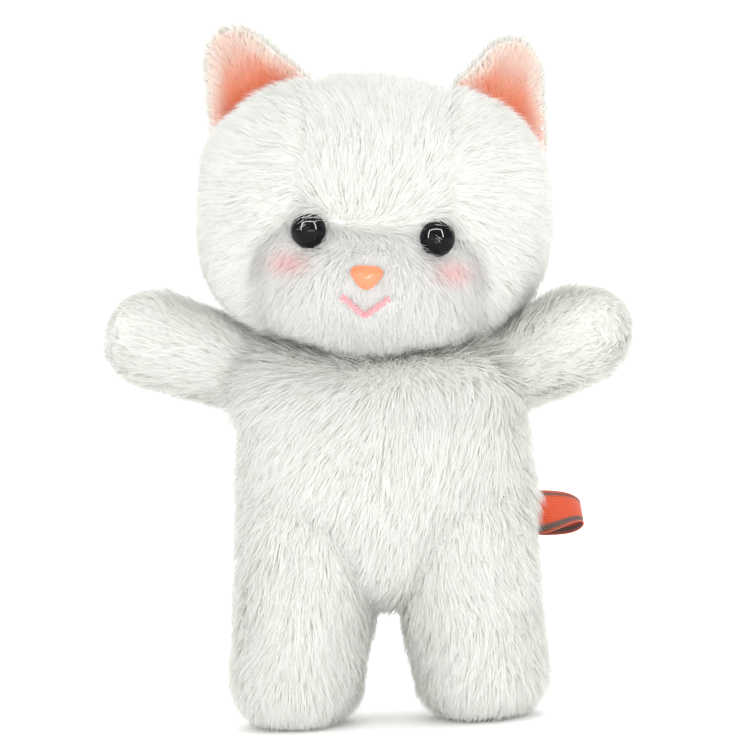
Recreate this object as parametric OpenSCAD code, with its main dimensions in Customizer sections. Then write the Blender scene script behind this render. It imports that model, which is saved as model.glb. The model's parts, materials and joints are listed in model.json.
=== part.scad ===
// Plush cat, about 200 mm tall over its pile: sewn pile-fabric panels over
// polyester filling, with moulded safety eyes and nose, an embroidered mouth
// and a woven loop label. The solids are the fabric without its loose pile.
// Millimetres. Z is up, the cat faces -Y, and +X is the cat's own left.

/* [Fabric and filling] */
// Thickness of the pile fabric's backing with its flattened roots
skin = 1.6; // [1.2:0.1:2.2]
// Play between the skin and the filling inside it
fill_play = 0.15; // [0.1:0.05:0.4]
// Play left round every part that moves
joint_play = 0.5; // [0.4:0.1:1]

/* [Head] */
// Width of the head
head_w = 95; // [90:1:99]
// Depth of the head from forehead to back
head_d = 71; // [66:1:76]
// Height of the head
head_h = 73; // [70:1:76]
// Squareness of the head's outline, where 2 is an ellipse
head_square = 2.6; // [2.3:0.1:2.8]
// Sideways tilt of the head, towards the cat's left
head_tilt = 6.5; // [0:0.5:8]
// Width of the muzzle's bulge
muzzle_w = 60; // [54:1:64]
// Height of the muzzle's bulge
muzzle_h = 35; // [32:1:38]
// How far the muzzle's bulge is deep, front to back
muzzle_d = 54; // [50:1:58]

/* [Face] */
// Diameter of an eye
eye_d = 10; // [9:0.5:11]
// Distance between the eyes' centres
eye_gap = 34.8; // [32:0.2:37]
// Width of the nose
nose_w = 8.5; // [8:0.5:10]
// Thickness of the mouth's embroidery
mouth_thread = 1.5; // [1:0.1:2]

/* [Ears] */
// Height of an ear from its base
ear_h = 27; // [24:1:29]
// Width of an ear at its base
ear_w = 33; // [30:1:36]
// How far the right ear leans outwards
right_ear_splay = 32; // [20:1:36]
// How far the left ear leans outwards
left_ear_splay = 17; // [12:1:36]

/* [Body] */
// Width of the torso over the hips
torso_w = 81; // [78:1:84]
// Depth of the torso over the belly
torso_d = 50; // [46:1:54]
// Lean of the torso towards the cat's left
torso_lean = 1.5; // [0:0.5:3]

/* [Limbs] */
// Length of an arm from the shoulder's centre to the hand's centre
arm_len = 35; // [30:1:36]
// Radius of a hand
hand_r = 12; // [11:0.5:13]
// Radius of an arm where it is sewn in
arm_root_r = 10; // [9:0.5:11]
// Radius of a leg at the hip
hip_r = 19.5; // [18.5:0.1:20]
// Half width of a foot
foot_r = 16.6; // [15:0.2:18]
// Length of a foot, front to back
foot_len = 46; // [40:1:48]
// Radius of the tail
tail_r = 6.5; // [5:0.5:7.5]

/* [Label] */
// Width of the label's ribbon
label_w = 13; // [10:0.5:16]
// How far the label's loop stands out from the seam
label_len = 15; // [12:0.5:18]

/* [Hidden] */

LEFT = 1;
RIGHT = -1;
big = 300;
fine = 24;          // facets round a soft solid
coarse = 16;        // facets round a hollow that only gives a moving part its room

// brings the middle of the cat's base to the origin
base_shift = [4.85, 0.2, 0];

// driving places, before base_shift
head_at = [-0.5, -2, 142.5];
muzzle_at = [-0.5, -14, -20];
torso_at = [-1.4, 0, 59];
torso_half_h = 25;
shoulder_z = 90.5;
shoulder_x = 24;
shoulder_r = 13.5;
torso_top = 101.5;
panel_y = 3;        // the head's front panels end here

right_shoulder = [-31.6, 2, 97.5];
left_shoulder = [28, 1, 93.5];
right_raise = 22;
left_raise = 20;
right_forward = 4;
left_forward = 37;

right_hip = [-22.6, -1, 54.6];
left_hip = [19.4, -1, 52.3];
sole_drop = 14;   // from the foot's centre down to its flat sole
foot_half_h = 20;
right_foot = [-6.5, -3, sole_drop - right_hip[2]];      // from its hip
left_foot = [3.5, -5, sole_drop - left_hip[2]];

tail_root = [0, 24, 48];

seam_thread = 0.5;
seam_proud = 0.4;   // how far a shoulder's thread stands out of the skin
seam_out = 7;       // how far a shoulder's thread lies from the shoulder's centre

// how far each part swings from rest
raise_ends = [-35, -15, 3];
leg_steps = [-15, 22, 60];
wag_ends = [-30, 0, 30];
ear_steps = [-15, 0, 15];

function spow(v, e) = sign(v) * pow(abs(v), e);
// a point of a superellipsoid at latitude t and longitude p
function squarish(h, n, t, p) = [
    h[0] * spow(cos(t), 2 / n) * spow(cos(p), 2 / n),
    h[1] * spow(cos(t), 2 / n) * spow(sin(p), 2 / n),
    h[2] * spow(sin(t), 2 / n)
];
// how far forward the muzzle's skin lies at x, z in the head's own frame
function muzzle_y(x, z) = muzzle_at[1] - muzzle_d / 2 * sqrt(1
    - pow((x - muzzle_at[0]) / (muzzle_w / 2), 2) - pow((z - muzzle_at[2]) / (muzzle_h / 2), 2));
// how far forward the forehead's skin lies at x, z in the head's own frame
function forehead_y(x, z) = -head_d / 2 * pow(1 - pow(abs(x) / (head_w / 2), head_square)
    - pow(abs(z) / (head_h / 2), head_square), 1 / head_square);

// ---------- shared shapes ----------

// a soft solid, kept as one closed faceted mesh
module soft() { resize([0, 0, 0]) children(); }

module front_of(y) { translate([-big, y - 2 * big, -big]) cube(2 * big); }
module back_of(y) { translate([-big, y, -big]) cube(2 * big); }
module left_of(x) { translate([x, -big, -big]) cube(2 * big); }
module right_of(x) { translate([x - 2 * big, -big, -big]) cube(2 * big); }
module above(z) { translate([-big, -big, z]) cube(2 * big); }
module below(z) { translate([-big, -big, z - 2 * big]) cube(2 * big); }

module ball(half, fn = fine) { scale(half) sphere(r = 1, $fn = fn); }

module squarish_ball(half, n, rings = 16, segs = 32) {
    points = concat(
        [[0, 0, -half[2]]],
        [for (i = [1 : rings - 1], j = [0 : segs - 1])
            squarish(half, n, -90 + 180 * i / rings, 360 * j / segs)],
        [[0, 0, half[2]]]);
    last = len(points) - 1;
    faces = concat(
        [for (j = [0 : segs - 1]) [0, 1 + j, 1 + (j + 1) % segs]],
        [for (i = [0 : rings - 3], j = [0 : segs - 1])
            [1 + i * segs + j, 1 + (i + 1) * segs + j, 1 + i * segs + (j + 1) % segs]],
        [for (i = [0 : rings - 3], j = [0 : segs - 1])
            [1 + (i + 1) * segs + j, 1 + (i + 1) * segs + (j + 1) % segs, 1 + i * segs + (j + 1) % segs]],
        [for (j = [0 : segs - 1]) [last, last - segs + (j + 1) % segs, last - segs + j]]);
    polyhedron(points, faces, convexity = 4);
}

// ---------- forms: the outside of each soft part, grown by g ----------

module head_form(g = 0) {
    squarish_ball([head_w / 2 + g, head_d / 2 + g, head_h / 2 + g], head_square);
    translate(muzzle_at) ball([muzzle_w / 2 + g, muzzle_d / 2 + g, muzzle_h / 2 + g], 28);
}
module pose_head() { translate(head_at) rotate([0, head_tilt, 0]) children(); }

// half an arm's outline, as radius and length: a root ball and a hand ball joined by a cone
function arm_outline(g = 0, steps = 12) = let (lean = asin((hand_r - arm_root_r) / arm_len)) concat(
    [for (i = [0 : steps]) let (t = -90 + (90 - lean) * i / steps)
        [(arm_root_r + g) * cos(t), (arm_root_r + g) * sin(t)]],
    [for (i = [0 : steps]) let (t = -lean + (90 + lean) * i / steps)
        [(hand_r + g) * cos(t), arm_len + (hand_r + g) * sin(t)]]);
module arm_form(side, g = 0) {
    rotate([0, side * 90, 0]) rotate_extrude($fn = coarse) polygon(arm_outline(g, 6));
}
module pose_arm(side, raise = 0) {
    at = side == LEFT ? left_shoulder : right_shoulder;
    forward = side == LEFT ? left_forward : right_forward;
    rest_raise = side == LEFT ? left_raise : right_raise;
    translate(at) rotate([0, 0, -side * forward]) rotate([0, -side * (rest_raise + raise), 0]) children();
}
// the room that an arm needs as it swings
module arm_room(side) {
    hull() for (raise = raise_ends) pose_arm(side, raise) arm_form(side, joint_play + seam_proud);
}

module leg_form(side, g = 0, fn = fine) {
    foot = side == LEFT ? left_foot : right_foot;
    difference() {
        hull() {
            sphere(r = hip_r + g, $fn = fn);
            translate(foot) ball([foot_r + g, foot_len / 2 + g, foot_half_h + g], fn);
        }
        below(foot[2] - sole_drop - g);
    }
}
module pose_leg(side, forward = 0) {
    translate(side == LEFT ? left_hip : right_hip) rotate([-forward, 0, 0]) children();
}
module leg_room(side) {
    hull() for (forward = leg_steps) pose_leg(side, forward) leg_form(side, joint_play, coarse);
}

// the tail's centreline, from its ball at the root up behind the back
function tail_point(t) = [5 * sin(70 * t), 17 * sin(80 * t), 44 * pow(t, 1.5)];
module tail_form(g = 0, steps = 6, reach = 1) {
    for (i = [0 : steps - 1]) hull() for (t = [i / steps, (i + 1) / steps])
        translate(tail_point(reach * t)) sphere(r = tail_r - 0.6 * t + g, $fn = coarse);
}
module pose_tail(wag = 0) { translate(tail_root) rotate([0, 0, wag]) children(); }
module tail_room() { hull() for (wag = wag_ends) pose_tail(wag) tail_form(joint_play, 1, 0.4); }

module torso_block(g = 0) {
    intersection() {
        translate(torso_at) rotate([0, torso_lean, 0]) hull() {
            ball([torso_w / 2 + g, torso_d / 2 + g, torso_half_h + g], 32);
            for (side = [LEFT, RIGHT])
                translate([side * shoulder_x, 0, shoulder_z - torso_at[2]])
                    ball([shoulder_r + g, 1.45 * shoulder_r + g, shoulder_r + g]);
        }
        below(torso_top + g);
    }
}
module torso_form(g = 0) {
    difference() {
        torso_block(g);
        for (side = [LEFT, RIGHT]) {
            arm_room(side);
            leg_room(side);
        }
        tail_room();
    }
}

// ---------- head ----------

module head_skin() {
    difference() {
        head_form();
        head_form(-skin);
    }
}
module muzzle_patch() {
    intersection() {
        translate([muzzle_at[0], 0, muzzle_at[2]]) scale([muzzle_w / 2, 1, muzzle_h / 2 + 2.2])
            rotate([90, 0, 0]) cylinder(r = 1, h = big, $fn = 48);
        below(-7);
        front_of(-8);
    }
}
module gusset_patch() {
    intersection() {
        hull() {
            translate([-19, -big, -7]) cube([38, big + panel_y, 1]);
            translate([-16, -big, head_h]) cube([32, big + panel_y, 1]);
        }
        above(-7);
    }
}

module forehead_panel() {
    color("whitesmoke") pose_head() soft() intersection() { head_skin(); gusset_patch(); }
}
module cheek_panel(side) {
    color("white") pose_head() soft() difference() {
        intersection() {
            head_skin();
            front_of(panel_y);
            if (side == LEFT) left_of(0); else right_of(0);
        }
        muzzle_patch();
        gusset_patch();
    }
}
module muzzle_panel() {
    color("snow") pose_head() soft() intersection() { head_skin(); muzzle_patch(); }
}
module head_back_panel(side) {
    color("ghostwhite") pose_head() soft() intersection() {
        head_skin();
        back_of(panel_y);
        if (side == LEFT) left_of(0); else right_of(0);
    }
}
module head_stuffing() {
    color("gainsboro") pose_head() soft() head_form(-skin - fill_play);
}

// ---------- moulded face parts, each on a post with a lock washer ----------

post_r = 1.5;
post_len = 13;
washer_r = 6.5;
washer_t = 1.2;
eye_z = -7.2;
eye_shift = 0.1;
eye_stand = 0.4;    // how far an eye's rim stands off the fabric
nose_at = [-0.9, -18.9];
nose_h = 7;

// local frame of a face part: +Z points out of the face
module on_face(x, z, y, turn, tip) {
    pose_head() translate([x, y, z]) rotate([0, 0, turn]) rotate([90 + tip, 0, 0]) children();
}
eye_y = forehead_y(eye_gap / 2, eye_z);
module at_eye(side) {
    on_face(eye_shift + side * eye_gap / 2, eye_z, eye_y, side * 17, 0) children();
}
module at_nose() {
    on_face(nose_at[0], nose_at[1], muzzle_y(nose_at[0], nose_at[1]), 0, -5) children();
}

module eye(side) {
    dome_h = 0.42 * eye_d;
    dome_r = (pow(eye_d / 2, 2) + dome_h * dome_h) / (2 * dome_h);
    color("black") at_eye(side) {
        translate([0, 0, eye_stand]) intersection() {
            translate([0, 0, dome_h - dome_r]) sphere(r = dome_r, $fn = 64);
            cylinder(r = eye_d / 2, h = dome_h + 1, $fn = 64);
        }
        translate([0, 0, -post_len]) cylinder(r = post_r, h = post_len + eye_stand + 0.5, $fn = 24);
    }
}
module washer(depth) {
    translate([0, 0, -depth - washer_t]) difference() {
        cylinder(r = washer_r, h = washer_t, $fn = 48);
        translate([0, 0, -1]) cylinder(r = post_r + 0.02, h = washer_t + 2, $fn = 24);
    }
}
washer_depth = 6;
module eye_washer(side) { color("white") at_eye(side) washer(washer_depth); }

module nose() {
    color("lightsalmon") at_nose() {
        translate([0, 0, 0.3]) hull() {
            for (side = [LEFT, RIGHT])
                translate([side * (nose_w / 2 - 2.3), nose_h / 2 - 2.4, 0]) ball([2.3, 2.3, 2.6], 20);
            translate([0, -nose_h / 2 + 2.1, 0]) ball([2.1, 2.1, 2.4], 20);
            translate([0, 0.6, 0]) ball([3.2, 2.2, 3.8], 20);
        }
        translate([0, 0, -post_len]) cylinder(r = post_r, h = post_len + 0.5, $fn = 24);
    }
}
module nose_washer() { color("white") at_nose() washer(washer_depth); }

// two bars of satin stitch that meet in a V
mouth_ends = [[-7.4, -24.6], [-0.8, -29.6], [5.8, -24.3]];
module mouth_stitching() {
    steps = 4;
    color("pink") pose_head() for (k = [0, 1], i = [0 : steps - 1]) {
        a = mouth_ends[k] + (mouth_ends[k + 1] - mouth_ends[k]) * i / steps;
        b = mouth_ends[k] + (mouth_ends[k + 1] - mouth_ends[k]) * (i + 1) / steps;
        hull() for (p = [a, b])
            translate([p[0], muzzle_y(p[0], p[1]) - mouth_thread / 2 - 0.15, p[1]])
                sphere(r = mouth_thread / 2, $fn = 12);
    }
}

// ---------- ears ----------

ear_cup = 25;       // radius that an ear is cupped to
ear_lining_t = 1.5;
ear_back_t = 2.4;
ear_foot = 8;       // how far an ear's blank runs down before the head trims it
right_ear_at = [-32, 3, 26.2];
left_ear_at = [30.8, 3, 25.6];

module ear_outline(inset = 0) {
    offset(delta = -inset) hull() {
        translate([0, ear_h - 8.5]) circle(r = 8.5, $fn = 32);
        for (side = [LEFT, RIGHT]) translate([side * (ear_w / 2 - 4), 0]) circle(r = 4, $fn = 24);
        translate([-ear_w / 2 + 5, -ear_foot]) square([ear_w - 10, 1]);
    }
}
// a cupped plate between two radii, its hollow side towards -Y
module ear_plate(inner, outer, inset) {
    intersection() {
        translate([0, ear_cup, 0]) rotate([90, 0, 0]) linear_extrude(2 * ear_cup) ear_outline(inset);
        translate([0, -ear_cup, -big / 2]) difference() {
            cylinder(r = outer, h = big, $fn = 96);
            cylinder(r = inner, h = big, $fn = 96);
        }
    }
}
module pose_ear(side, fold = 0) {
    at = side == LEFT ? left_ear_at : right_ear_at;
    splay = side == LEFT ? left_ear_splay : right_ear_splay;
    pose_head() translate(at) rotate([0, side * splay, 0]) rotate([fold, 0, side * 8]) children();
}
// the head as an ear sees it while it folds about its base
module head_from_ear(side) {
    at = side == LEFT ? left_ear_at : right_ear_at;
    splay = side == LEFT ? left_ear_splay : right_ear_splay;
    for (fold = ear_steps)
        rotate([-fold, 0, 0]) rotate([0, 0, -side * 8]) rotate([0, -side * splay, 0]) translate(-at)
            head_form(joint_play);
}
module ear_back(side) {
    color("white") pose_ear(side) soft() difference() {
        ear_plate(ear_cup + ear_lining_t, ear_cup + ear_lining_t + ear_back_t, 0);
        head_from_ear(side);
    }
}
module ear_lining(side) {
    color("lightsalmon") pose_ear(side) soft() difference() {
        ear_plate(ear_cup, ear_cup + ear_lining_t, 2);
        head_from_ear(side);
    }
}

// ---------- neck ----------

neck_r = 10;
neck_thread = 0.8;
neck_at = [0.3, 0, torso_top + neck_thread + 0.3];
module neck_seam() {
    color("ivory") translate(neck_at) rotate_extrude($fn = 72)
        translate([neck_r, 0]) circle(r = neck_thread, $fn = 24);
}
module neck_stuffing() {
    color("gainsboro") translate([neck_at[0], neck_at[1], torso_top + 0.3])
        cylinder(r1 = neck_r - 1.2, r2 = neck_r - 2.5, h = 1.5, $fn = 64);
}

// ---------- torso ----------

module torso_skin() {
    difference() {
        torso_form();
        torso_block(-skin);
    }
}
module torso_front_panel() {
    color("white") soft() intersection() { torso_skin(); front_of(0); }
}
module torso_back_panel(side) {
    color("snow") soft() intersection() {
        torso_skin();
        back_of(0);
        if (side == LEFT) left_of(0); else right_of(0);
    }
}
module torso_stuffing() {
    color("gainsboro") soft() torso_form(-skin - fill_play);
}

// ladder stitches that close the back, each a short bar over the centre seam
stitch_z = [68 : 3 : 92];
function back_y(z) = let (t = (z - 59) / 31) 25.45 - 5.2 * pow(max(t, 0), 1.6);
module back_closing_stitches() {
    color("ivory") for (z = stitch_z)
        translate([-1.7, back_y(z), z]) rotate([0, 90, 0]) cylinder(r = 0.35, h = 3.4, $fn = 16);
}

// a ribbon folded in half, both ends sewn into the side seam, turning on its way out
label_at = [38.9, 1, 56];
label_ply = 0.45;
label_puff = 1.9;
label_turn = 62;
// across the loop, from one sewn end round the fold to the other: 0 to 1
function label_out(t) = label_len * sin(180 * t);
function label_side(t) = -label_puff * sin(360 * t);
module label_slice(t) {
    out = label_out(t);
    translate([out, label_side(t), -0.06 * out]) rotate([-label_turn * out / label_len, 0, 0])
        cube([label_ply, label_ply, label_w * (1 - 0.1 * out / label_len)], center = true);
}
module side_label() {
    steps = 14;
    first = 0.02;
    color("orangered") translate(label_at) for (i = [0 : steps - 1]) hull() {
        label_slice(first + (1 - 2 * first) * i / steps);
        label_slice(first + (1 - 2 * first) * (i + 1) / steps);
    }
}

// ---------- arms ----------

// the thread that gathers an arm's root, sunk into its skin
module shoulder_seam(side) {
    lean = asin((hand_r - arm_root_r) / arm_len);
    ring_r = (arm_root_r + seam_out * sin(lean)) / cos(lean) - seam_thread + seam_proud;
    color("ivory") pose_arm(side) rotate([0, side * 90, 0]) translate([0, 0, seam_out])
        rotate_extrude($fn = 64) translate([ring_r, 0]) circle(r = seam_thread, $fn = 16);
}
// half of an arm's skin, its pile outwards, turned about the arm to face front or back
module arm_panel(side, turn) {
    outside = arm_outline();
    inside = arm_outline(-skin);
    pose_arm(side) rotate([0, side * 90, 0]) rotate([0, 0, turn]) rotate_extrude(angle = 180, $fn = 72)
        polygon(concat(outside, [for (i = [len(inside) - 1 : -1 : 0]) inside[i]]));
}
module arm_front_panel(side) { color("white") arm_panel(side, 180); }
module arm_back_panel(side) { color("snow") arm_panel(side, 0); }
module arm_stuffing(side) {
    color("gainsboro") pose_arm(side) rotate([0, side * 90, 0]) rotate_extrude($fn = 72)
        polygon(arm_outline(-skin - fill_play));
}

// ---------- legs ----------

function sole_line(side) = (side == LEFT ? left_foot : right_foot)[2] - 11;
module leg_skin(side) {
    difference() {
        leg_form(side);
        leg_form(side, -skin);
    }
}
module leg_front_panel(side) {
    color("white") pose_leg(side) soft() intersection() {
        leg_skin(side);
        front_of(0);
        above(sole_line(side));
    }
}
module leg_back_panel(side) {
    color("snow") pose_leg(side) soft() intersection() {
        leg_skin(side);
        back_of(0);
        above(sole_line(side));
    }
}
module foot_sole(side) {
    color("whitesmoke") pose_leg(side) soft() intersection() { leg_skin(side); below(sole_line(side)); }
}
module leg_stuffing(side) {
    color("gainsboro") pose_leg(side) soft() leg_form(side, -skin - fill_play);
}

// ---------- tail ----------

module tail_skin() {
    difference() {
        tail_form();
        tail_form(-skin);
    }
}
module tail_panel(side) {
    color("white") pose_tail() soft() intersection() {
        tail_skin();
        if (side == LEFT) left_of(2); else right_of(2);
    }
}
module tail_stuffing() {
    color("gainsboro") pose_tail() soft() tail_form(-skin - fill_play);
}

// ---------- the cat ----------

translate(base_shift) {
    forehead_panel();
    cheek_panel(LEFT);  // left_cheek_panel
    cheek_panel(RIGHT);  // right_cheek_panel
    muzzle_panel();
    head_back_panel(LEFT);  // head_back_left_panel
    head_back_panel(RIGHT);  // head_back_right_panel
    head_stuffing();
    eye(LEFT);  // left_eye
    eye(RIGHT);  // right_eye
    eye_washer(LEFT);  // left_eye_washer
    eye_washer(RIGHT);  // right_eye_washer
    nose();
    nose_washer();
    mouth_stitching();
    ear_back(LEFT);  // left_ear_back
    ear_lining(LEFT);  // left_ear_lining
    ear_back(RIGHT);  // right_ear_back
    ear_lining(RIGHT);  // right_ear_lining
    neck_seam();
    neck_stuffing();
    torso_front_panel();
    torso_back_panel(LEFT);  // torso_back_left_panel
    torso_back_panel(RIGHT);  // torso_back_right_panel
    torso_stuffing();
    back_closing_stitches();
    side_label();
    shoulder_seam(LEFT);  // left_shoulder_seam
    shoulder_seam(RIGHT);  // right_shoulder_seam
    arm_front_panel(LEFT);  // left_arm_front_panel
    arm_back_panel(LEFT);  // left_arm_back_panel
    arm_stuffing(LEFT);  // left_arm_stuffing
    arm_front_panel(RIGHT);  // right_arm_front_panel
    arm_back_panel(RIGHT);  // right_arm_back_panel
    arm_stuffing(RIGHT);  // right_arm_stuffing
    leg_front_panel(LEFT);  // left_leg_front_panel
    leg_back_panel(LEFT);  // left_leg_back_panel
    foot_sole(LEFT);  // left_foot_sole
    leg_stuffing(LEFT);  // left_leg_stuffing
    leg_front_panel(RIGHT);  // right_leg_front_panel
    leg_back_panel(RIGHT);  // right_leg_back_panel
    foot_sole(RIGHT);  // right_foot_sole
    leg_stuffing(RIGHT);  // right_leg_stuffing
    tail_panel(LEFT);  // tail_left_panel
    tail_panel(RIGHT);  // tail_right_panel
    tail_stuffing();
}
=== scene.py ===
"""Looks of the plush cat: stuffed skins with real pile on them, moulded eyes and
nose, stitches and a woven label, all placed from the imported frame."""
import json
import math

import bmesh
import bpy
import numpy as np
from mathutils import Euler, Matrix, Vector, kdtree


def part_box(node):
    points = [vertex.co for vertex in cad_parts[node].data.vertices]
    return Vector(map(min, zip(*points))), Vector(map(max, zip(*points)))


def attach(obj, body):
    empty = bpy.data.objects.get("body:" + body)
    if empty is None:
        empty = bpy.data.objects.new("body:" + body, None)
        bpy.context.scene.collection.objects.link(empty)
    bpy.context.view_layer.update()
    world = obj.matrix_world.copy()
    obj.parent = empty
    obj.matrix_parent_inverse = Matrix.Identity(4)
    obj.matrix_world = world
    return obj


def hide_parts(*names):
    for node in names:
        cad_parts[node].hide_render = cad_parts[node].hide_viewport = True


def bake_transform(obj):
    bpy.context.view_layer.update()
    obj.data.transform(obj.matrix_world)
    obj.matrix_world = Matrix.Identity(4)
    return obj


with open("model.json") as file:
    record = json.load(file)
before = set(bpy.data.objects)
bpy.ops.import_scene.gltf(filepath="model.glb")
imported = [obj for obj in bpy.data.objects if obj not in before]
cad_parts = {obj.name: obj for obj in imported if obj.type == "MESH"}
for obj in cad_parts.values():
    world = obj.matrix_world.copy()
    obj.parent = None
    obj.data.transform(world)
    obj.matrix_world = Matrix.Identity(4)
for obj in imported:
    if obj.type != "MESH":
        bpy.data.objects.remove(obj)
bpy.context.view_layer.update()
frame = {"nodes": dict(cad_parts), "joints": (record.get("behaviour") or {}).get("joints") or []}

MM = 0.001
MAX_STRANDS = 39000         # in one piece of pile, at five triangles a strand
HEAD_TILT = math.radians(6.5)
JOINTS = {joint["name"]: joint for joint in frame["joints"]}


# ---------- small helpers ----------

def middle(node):
    low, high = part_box(node)
    return (low + high) / 2


def unit(v):
    v = np.asarray(v, float)
    return v / np.maximum(np.linalg.norm(v, axis=-1, keepdims=True), 1e-12)


def ease(x, low, high):
    """0 below low, 1 above high, smooth between."""
    t = np.clip((np.asarray(x, float) - low) / (high - low), 0, 1)
    return t * t * (3 - 2 * t)


def wavy(points, scale, seed):
    """A smooth made-up field from -1 to 1, the same each run; scale is its wave in metres."""
    rng = np.random.default_rng(seed)
    total = np.zeros(len(points))
    for _ in range(6):
        way = unit(rng.normal(size=3)) * rng.uniform(0.7, 1.5) * 2 * math.pi / scale
        total += np.sin(points @ way + rng.uniform(0, 2 * math.pi))
    return total / 3.2


HEAD_TURN = Matrix.Rotation(HEAD_TILT, 3, "Y")
HEAD_ROWS = np.array(HEAD_TURN)


def coordinates(mesh):
    flat = np.empty(len(mesh.vertices) * 3)
    mesh.vertices.foreach_get("co", flat)
    return flat.reshape(-1, 3)


def head_middle():
    """The middle of the head's main ball, from its filling seen along the tilted head's axes."""
    seen = coordinates(frame["nodes"]["head_stuffing"].data) @ HEAD_ROWS
    low, high = seen.min(0), seen.max(0)
    return Vector(HEAD_ROWS @ ((low[0] + high[0]) / 2, high[1] - 33.75 * MM, high[2] - 34.75 * MM))


HEAD = head_middle()


def in_head(points):
    """Row-frame points seen from the tilted head, whose middle is the origin."""
    return (points - np.array(HEAD)) @ HEAD_ROWS


def from_head(way):
    return np.asarray(way, float) @ HEAD_ROWS.T


# ---------- materials ----------

def material(name):
    made = bpy.data.materials.new(name)
    made.use_nodes = True
    return made, made.node_tree.nodes, made.node_tree.links, made.node_tree.nodes["Principled BSDF"]


def mix(nodes, links, kind, factor, a, b):
    node = nodes.new("ShaderNodeMix")
    node.data_type = "RGBA"
    node.blend_type = kind
    for socket, value in ((node.inputs[0], factor), (node.inputs[6], a), (node.inputs[7], b)):
        if isinstance(value, bpy.types.NodeSocket):
            links.new(value, socket)
        else:
            socket.default_value = value if isinstance(value, float) else (*value, 1)
    return node.outputs[2]


def noise(nodes, links, scale, detail=3):
    where = nodes.new("ShaderNodeTexCoord")
    node = nodes.new("ShaderNodeTexNoise")
    node.inputs["Scale"].default_value = scale
    node.inputs["Detail"].default_value = detail
    links.new(where.outputs["Object"], node.inputs["Vector"])
    return node.outputs["Fac"]


def bump(nodes, links, height, strength, distance, shader):
    node = nodes.new("ShaderNodeBump")
    node.inputs["Strength"].default_value = strength
    node.inputs["Distance"].default_value = distance
    links.new(height, node.inputs["Height"])
    links.new(node.outputs["Normal"], shader.inputs["Normal"])


def pile_material(name, through=0.5):
    """Pile fibres: their colour is each strand's own, from root to tip, and light passes through them."""
    made, nodes, links, shader = material(name)
    own = nodes.new("ShaderNodeAttribute")
    own.attribute_name = "Tint"
    cloudy = noise(nodes, links, 90)
    tone = mix(nodes, links, "MULTIPLY", cloudy, own.outputs["Color"], (0.985, 0.985, 0.98))
    links.new(tone, shader.inputs["Base Color"])
    shader.inputs["Roughness"].default_value = 0.9
    shader.inputs["Specular IOR Level"].default_value = 0.0
    translucent = nodes.new("ShaderNodeBsdfTranslucent")
    both = nodes.new("ShaderNodeMixShader")
    both.inputs["Fac"].default_value = through
    links.new(tone, translucent.inputs["Color"])
    links.new(shader.outputs["BSDF"], both.inputs[1])
    links.new(translucent.outputs["BSDF"], both.inputs[2])
    links.new(both.outputs["Shader"], nodes["Material Output"].inputs["Surface"])
    return made


def backing_material(name, dark, light):
    """Knitted backing with the roots of the pile standing on it."""
    made, nodes, links, shader = material(name)
    grain = noise(nodes, links, 1500, 4)
    links.new(mix(nodes, links, "MIX", grain, dark, light), shader.inputs["Base Color"])
    shader.inputs["Roughness"].default_value = 0.95
    shader.inputs["Specular IOR Level"].default_value = 0.0
    bump(nodes, links, grain, 0.6, 0.6 * MM, shader)
    return made


def plastic_material(name, deep, shallow, roughness, coat, shine):
    made, nodes, links, shader = material(name)
    cloudy = noise(nodes, links, 260, 2)
    links.new(mix(nodes, links, "MIX", cloudy, deep, shallow), shader.inputs["Base Color"])
    shader.inputs["Roughness"].default_value = roughness
    shader.inputs["Specular IOR Level"].default_value = shine
    shader.inputs["Coat Weight"].default_value = coat
    shader.inputs["Coat Roughness"].default_value = 0.04
    bump(nodes, links, noise(nodes, links, 900), 0.03, 0.1 * MM, shader)
    return made


def thread_material(name, dark, light):
    """Twisted, slightly shiny embroidery or sewing thread."""
    made, nodes, links, shader = material(name)
    where = nodes.new("ShaderNodeTexCoord")
    twist = nodes.new("ShaderNodeTexWave")
    twist.inputs["Scale"].default_value = 900
    twist.inputs["Distortion"].default_value = 1.5
    links.new(where.outputs["Object"], twist.inputs["Vector"])
    links.new(mix(nodes, links, "MIX", twist.outputs["Fac"], dark, light), shader.inputs["Base Color"])
    shader.inputs["Roughness"].default_value = 0.42
    shader.inputs["Sheen Weight"].default_value = 0.3
    bump(nodes, links, twist.outputs["Fac"], 0.4, 0.15 * MM, shader)
    return made


def ribbon_material():
    """Woven ribbon: ribs across it, and a dark stripe that follows each edge."""
    made, nodes, links, shader = material("label_ribbon")
    edge = nodes.new("ShaderNodeAttribute")
    edge.attribute_name = "Edge"
    where = nodes.new("ShaderNodeTexCoord")
    ribs = nodes.new("ShaderNodeTexWave")
    ribs.bands_direction = "Z"
    ribs.inputs["Scale"].default_value = 700
    ribs.inputs["Distortion"].default_value = 0.6
    links.new(where.outputs["Object"], ribs.inputs["Vector"])
    cloth = mix(nodes, links, "MIX", ribs.outputs["Fac"], (0.50, 0.048, 0.011), (0.70, 0.09, 0.022))
    stripe = mix(nodes, links, "MIX", edge.outputs["Fac"], cloth, (0.10, 0.07, 0.06))
    links.new(stripe, shader.inputs["Base Color"])
    shader.inputs["Roughness"].default_value = 0.5
    shader.inputs["Sheen Weight"].default_value = 0.15
    bump(nodes, links, ribs.outputs["Fac"], 0.5, 0.1 * MM, shader)
    return made


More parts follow.
